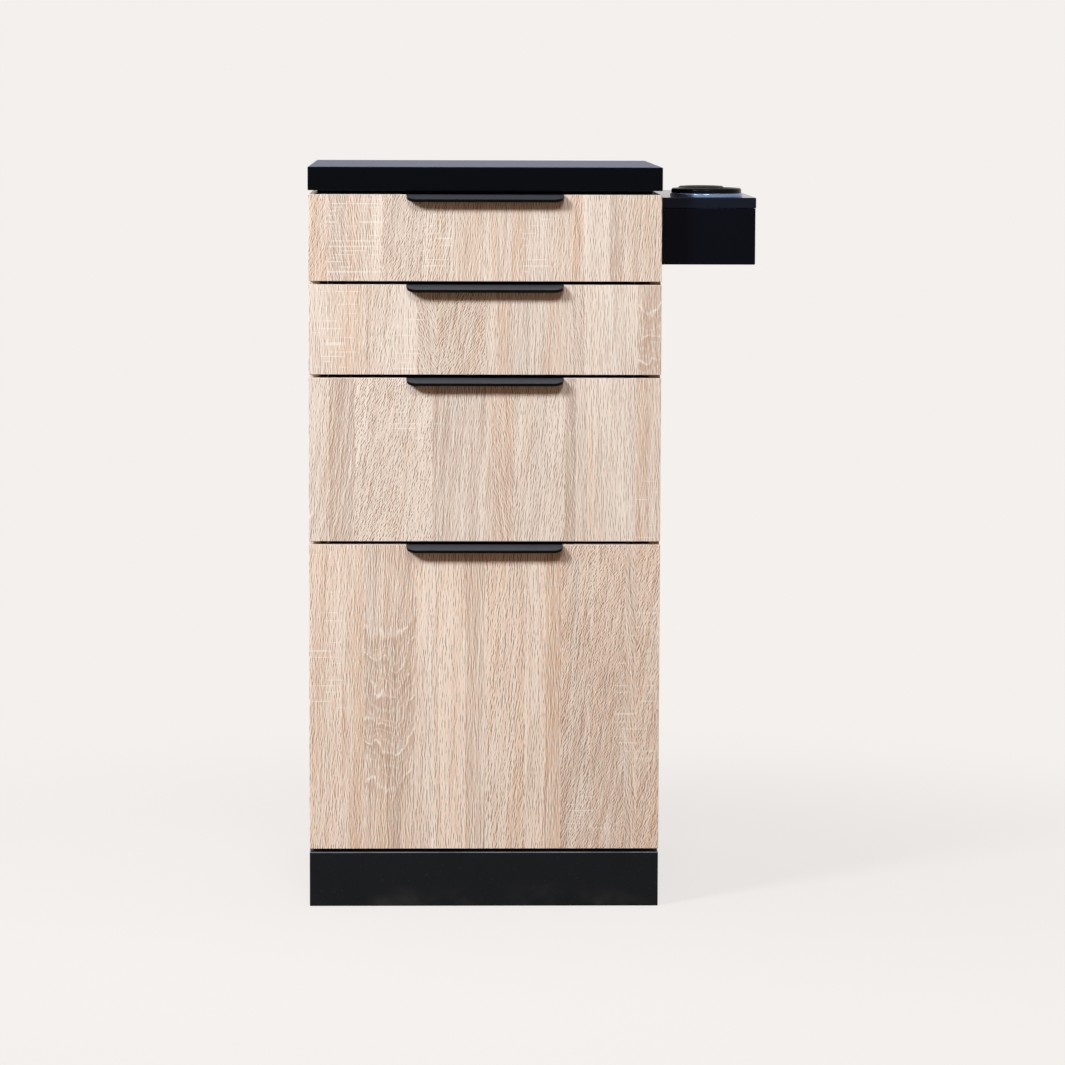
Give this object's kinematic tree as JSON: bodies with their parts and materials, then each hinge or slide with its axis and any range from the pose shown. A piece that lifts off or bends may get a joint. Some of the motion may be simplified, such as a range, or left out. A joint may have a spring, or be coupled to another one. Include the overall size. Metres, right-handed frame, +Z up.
{
  "type": "salon drawer trolley",
  "caption": "Upright salon storage cabinet with oak-look drawers, black edge pulls, worktop and plinth, and a side holder with round mouths for hot tools.",
  "frame": {"origin": "centre of the whole outline, on the floor", "axes": "+Z up, drawers open towards -Y, tool holder at +X"},
  "size_m": [0.5078, 0.414, 0.8435],
  "materials": {
    "oak_laminate": "light oak-look laminate, matt, fine vertical grain",
    "black_laminate": "black laminate on board, satin",
    "grey_board": "dark grey melamine board, matt",
    "black_aluminium": "black anodised, satin",
    "black_gloss_plastic": "black, glossy",
    "dark_steel": "dark blue-grey steel, polished",
    "black_rubber": "black, satin",
    "zinc_steel": "zinc plated"
  },
  "bodies": {
    "cabinet": {"left_side_panel": "oak_laminate", "right_side_panel": "oak_laminate", "base_panel": "oak_laminate", "carcass_top": "oak_laminate", "worktop": "black_laminate", "top_spacer": "black_laminate", "plinth_front": "black_laminate", "plinth_back": "black_laminate", "plinth_left": "black_laminate", "plinth_right": "black_laminate", "back_panel": "grey_board", "holder_box": "black_gloss_plastic", "holder_mounting_board": "black_gloss_plastic", "holder_lid": "black_gloss_plastic", "dryer_collar": "dark_steel", "dryer_rim": "black_rubber", "iron_collar": "dark_steel", "iron_rim": "black_rubber", "holder_front_screw": "zinc_steel", "holder_rear_screw": "zinc_steel", "bottom_drawer_left_runner": "zinc_steel", "bottom_drawer_right_runner": "zinc_steel", "middle_drawer_left_runner": "zinc_steel", "middle_drawer_right_runner": "zinc_steel", "upper_drawer_left_runner": "zinc_steel", "upper_drawer_right_runner": "zinc_steel", "top_drawer_left_runner": "zinc_steel", "top_drawer_right_runner": "zinc_steel"},
    "bottom_drawer": {"bottom_drawer_front": "oak_laminate", "bottom_drawer_handle": "black_aluminium", "bottom_drawer_left_side": "grey_board", "bottom_drawer_right_side": "grey_board", "bottom_drawer_back": "grey_board", "bottom_drawer_bottom": "grey_board", "bottom_drawer_left_rail": "zinc_steel", "bottom_drawer_right_rail": "zinc_steel"},
    "middle_drawer": {"middle_drawer_front": "oak_laminate", "middle_drawer_handle": "black_aluminium", "middle_drawer_left_side": "grey_board", "middle_drawer_right_side": "grey_board", "middle_drawer_back": "grey_board", "middle_drawer_bottom": "grey_board", "middle_drawer_left_rail": "zinc_steel", "middle_drawer_right_rail": "zinc_steel"},
    "upper_drawer": {"upper_drawer_front": "oak_laminate", "upper_drawer_handle": "black_aluminium", "upper_drawer_left_side": "grey_board", "upper_drawer_right_side": "grey_board", "upper_drawer_back": "grey_board", "upper_drawer_bottom": "grey_board", "upper_drawer_left_rail": "zinc_steel", "upper_drawer_right_rail": "zinc_steel"},
    "top_drawer": {"top_drawer_front": "oak_laminate", "top_drawer_handle": "black_aluminium", "top_drawer_left_side": "grey_board", "top_drawer_right_side": "grey_board", "top_drawer_back": "grey_board", "top_drawer_bottom": "grey_board", "top_drawer_left_rail": "zinc_steel", "top_drawer_right_rail": "zinc_steel"}
  },
  "joints": [
    {"name": "bottom_drawer_slide", "type": "slide", "parent": "cabinet", "child": "bottom_drawer", "axis": [0, -1, 0], "range_m": [0, 0.26]},
    {"name": "middle_drawer_slide", "type": "slide", "parent": "cabinet", "child": "middle_drawer", "axis": [0, -1, 0], "range_m": [0, 0.26]},
    {"name": "upper_drawer_slide", "type": "slide", "parent": "cabinet", "child": "upper_drawer", "axis": [0, -1, 0], "range_m": [0, 0.26]},
    {"name": "top_drawer_slide", "type": "slide", "parent": "cabinet", "child": "top_drawer", "axis": [0, -1, 0], "range_m": [0, 0.26]}
  ]
}
